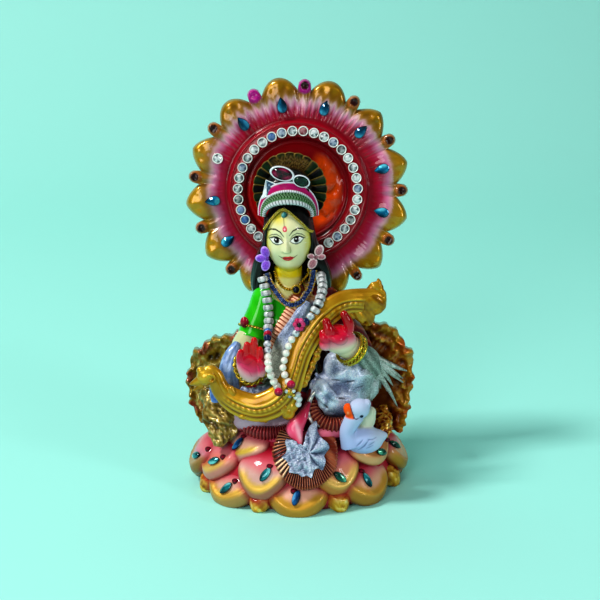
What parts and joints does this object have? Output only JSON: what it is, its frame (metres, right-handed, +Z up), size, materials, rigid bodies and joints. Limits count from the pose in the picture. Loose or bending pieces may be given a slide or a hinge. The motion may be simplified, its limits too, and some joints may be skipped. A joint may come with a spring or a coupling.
{
  "type": "saraswati figurine",
  "caption": "Painted votive figure of Saraswati seated on a lotus with a veena and a swan, in front of a round petal-edged halo set with stones.",
  "frame": {"origin": "on the flat underside of the lotus pedestal, under the seated figure's middle", "axes": "+Z up, -Y the way the figure faces, +X to the viewer's right"},
  "size_m": [0.1102, 0.0879, 0.1855],
  "materials": {
    "painted_casting": "cast resin, hand painted in pink, gold, skin, green and silver under clear lacquer",
    "painted_halo": "cast resin, crimson shading to pink and gold under clear lacquer",
    "gilt": "cast resin in gold metallic paint",
    "swan_white": "cast resin in satin white paint with an orange beak",
    "fan_braid": "pleated lurex braid, black and green with gold edges",
    "beaded_braid": "magenta and green braid edged with white seed beads",
    "teal_gem": "faceted acrylic, foil backed",
    "red_gem": "polished acrylic",
    "green_gem": "polished acrylic",
    "rhinestone": "faceted, foil backed",
    "pearl": "pearl and frosted crystal beads",
    "navy_bead": "polished beads with gold edges",
    "gold_wire": "twisted gilt wire",
    "lavender_petal": "satin moulded flower",
    "pink_petal": "glitter flower"
  },
  "bodies": {
    "root": {"armlet": "gold_wire", "armlet_gem": "red_gem", "bangle_left": "gold_wire", "bangle_right": "gold_wire", "bead_collar": "navy_bead", "crown_fan": "fan_braid", "crown_gem_green": "green_gem", "crown_gem_red": "red_gem", "earring_left": "pink_petal", "earring_right": "lavender_petal", "figure": "painted_casting", "garland_bead_left": "red_gem", "garland_bead_right": "red_gem", "garland_clasp": "gold_wire", "garland_left": "pearl", "garland_right": "pearl", "garland_rosette": "red_gem", "garland_tassel": "rhinestone", "halo": "painted_halo", "halo_drop_00": "teal_gem", "halo_drop_01": "teal_gem", "halo_drop_02": "teal_gem", "halo_drop_03": "teal_gem", "halo_drop_04": "teal_gem", "halo_drop_08": "teal_gem", "halo_drop_09": "teal_gem", "halo_drop_10": "teal_gem", "halo_drop_12": "teal_gem", "halo_mended_rhinestone": "rhinestone", "halo_rhinestones": "rhinestone", "lotus_gem_00": "teal_gem", "lotus_gem_01": "teal_gem", "lotus_gem_02": "teal_gem", "lotus_gem_03": "teal_gem", "lotus_gem_04": "teal_gem", "lotus_gem_05": "teal_gem", "lotus_gem_06": "teal_gem", "lotus_gem_07": "teal_gem", "lotus_gem_08": "teal_gem", "lotus_gem_09": "teal_gem", "neck_chain": "gold_wire", "pendant": "navy_bead", "swan": "swan_white", "tiara": "beaded_braid", "tikka_chain": "gold_wire", "tikka_gem": "teal_gem", "veena": "gilt"}
  },
  "joints": []
}
